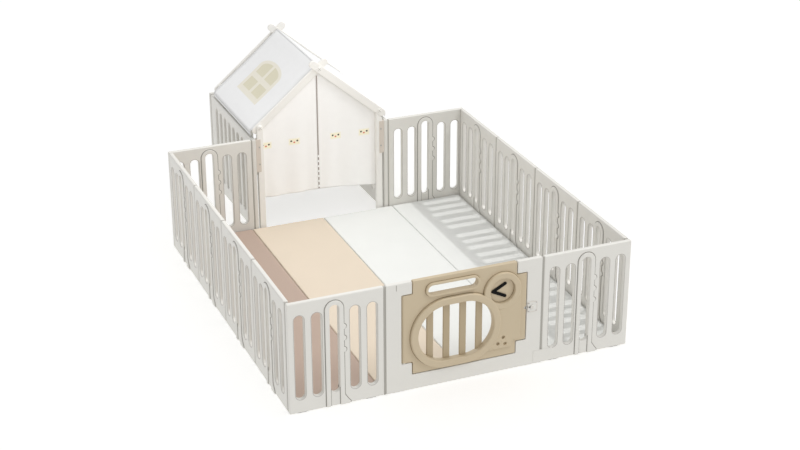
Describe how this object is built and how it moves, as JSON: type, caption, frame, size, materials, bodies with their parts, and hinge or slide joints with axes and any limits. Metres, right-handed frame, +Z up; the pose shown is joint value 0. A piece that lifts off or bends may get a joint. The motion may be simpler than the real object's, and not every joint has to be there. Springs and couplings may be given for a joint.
{
  "type": "playpen",
  "caption": "Rectangular slatted playpen with a swing gate, a slide latch, a four-section folding mat and a small gabled playhouse with curtains at the back.",
  "frame": {"origin": "middle of the footprint, on the floor", "axes": "+Y from the gate towards the playhouse, +X to the right as seen from the gate, +Z up"},
  "size_m": [1.918, 3.0374, 1.0641],
  "materials": {
    "panel_plastic": "satin off-white blow-moulded HDPE",
    "frame_plastic": "satin off-white moulded plastic",
    "door_plastic": "satin sand-coloured HDPE",
    "bracket_plastic": "satin warm beige plastic",
    "brow_plastic": "black",
    "stud_plastic": "white",
    "pin_steel": "zinc plated",
    "tube_steel": "white powder coat",
    "grip_rubber": "matt",
    "roof_cloth": "white woven polyester",
    "curtain_cloth": "white woven polyester",
    "mat_rose": "dusty rose coated fabric over foam",
    "mat_cream": "cream coated fabric over foam",
    "mat_white": "white coated fabric over foam"
  },
  "bodies": {
    "pen": {"front_left_panel": "panel_plastic", "front_right_panel": "panel_plastic", "left_panel_1": "panel_plastic", "left_panel_2": "panel_plastic", "left_panel_3": "panel_plastic", "left_panel_4": "panel_plastic", "right_panel_1": "panel_plastic", "right_panel_2": "panel_plastic", "right_panel_3": "panel_plastic", "right_panel_4": "panel_plastic", "back_left_panel": "panel_plastic", "back_right_panel": "panel_plastic", "house_left_wall": "panel_plastic", "house_right_wall": "panel_plastic", "house_rear_wall": "panel_plastic", "straight_links": "panel_plastic", "corner_links": "panel_plastic", "house_links": "panel_plastic", "floor_grips": "grip_rubber", "gate_frame": "panel_plastic", "hinge_pins": "pin_steel", "hinge_washer": "panel_plastic", "latch_plate": "panel_plastic", "latch_screws": "pin_steel", "front_left_post": "frame_plastic", "front_right_post": "frame_plastic", "rear_left_post": "frame_plastic", "rear_right_post": "frame_plastic", "front_left_rafter": "frame_plastic", "front_right_rafter": "frame_plastic", "rear_left_rafter": "frame_plastic", "rear_right_rafter": "frame_plastic", "ridge_tube": "tube_steel", "left_eave_tube": "tube_steel", "right_eave_tube": "tube_steel", "frame_bolts": "frame_plastic", "post_brackets": "bracket_plastic", "bracket_screws": "pin_steel", "roof_left": "roof_cloth", "roof_right": "roof_cloth", "rear_cloth": "roof_cloth", "curtain_left": "curtain_cloth", "curtain_right": "curtain_cloth", "curtain_studs": "stud_plastic", "mat_section_2": "mat_cream", "mat_section_3": "mat_white"},
    "gate": {"gate_door": "door_plastic", "door_brow": "brow_plastic"},
    "latch": {"latch_bolt": "panel_plastic", "latch_knob": "panel_plastic"},
    "mat_left": {"mat_section_1": "mat_rose"},
    "mat_right": {"mat_section_4": "mat_white"}
  },
  "joints": [
    {"name": "gate_swing", "type": "hinge", "parent": "pen", "child": "gate", "pos_m": [-0.3345, -1.5015, 0.35], "axis": [0, 0, -1], "range_deg": [0, 100]},
    {"name": "latch_slide", "type": "slide", "parent": "pen", "child": "latch", "axis": [-1, 0, 0], "range_m": [0, 0.014]},
    {"name": "mat_fold_left", "type": "hinge", "parent": "pen", "child": "mat_left", "pos_m": [-0.46237, -0.45, 0.041], "axis": [0, 1, 0], "range_deg": [0, 180]},
    {"name": "mat_fold_right", "type": "hinge", "parent": "pen", "child": "mat_right", "pos_m": [0.46237, -0.45, 0.041], "axis": [0, -1, 0], "range_deg": [0, 180]}
  ]
}
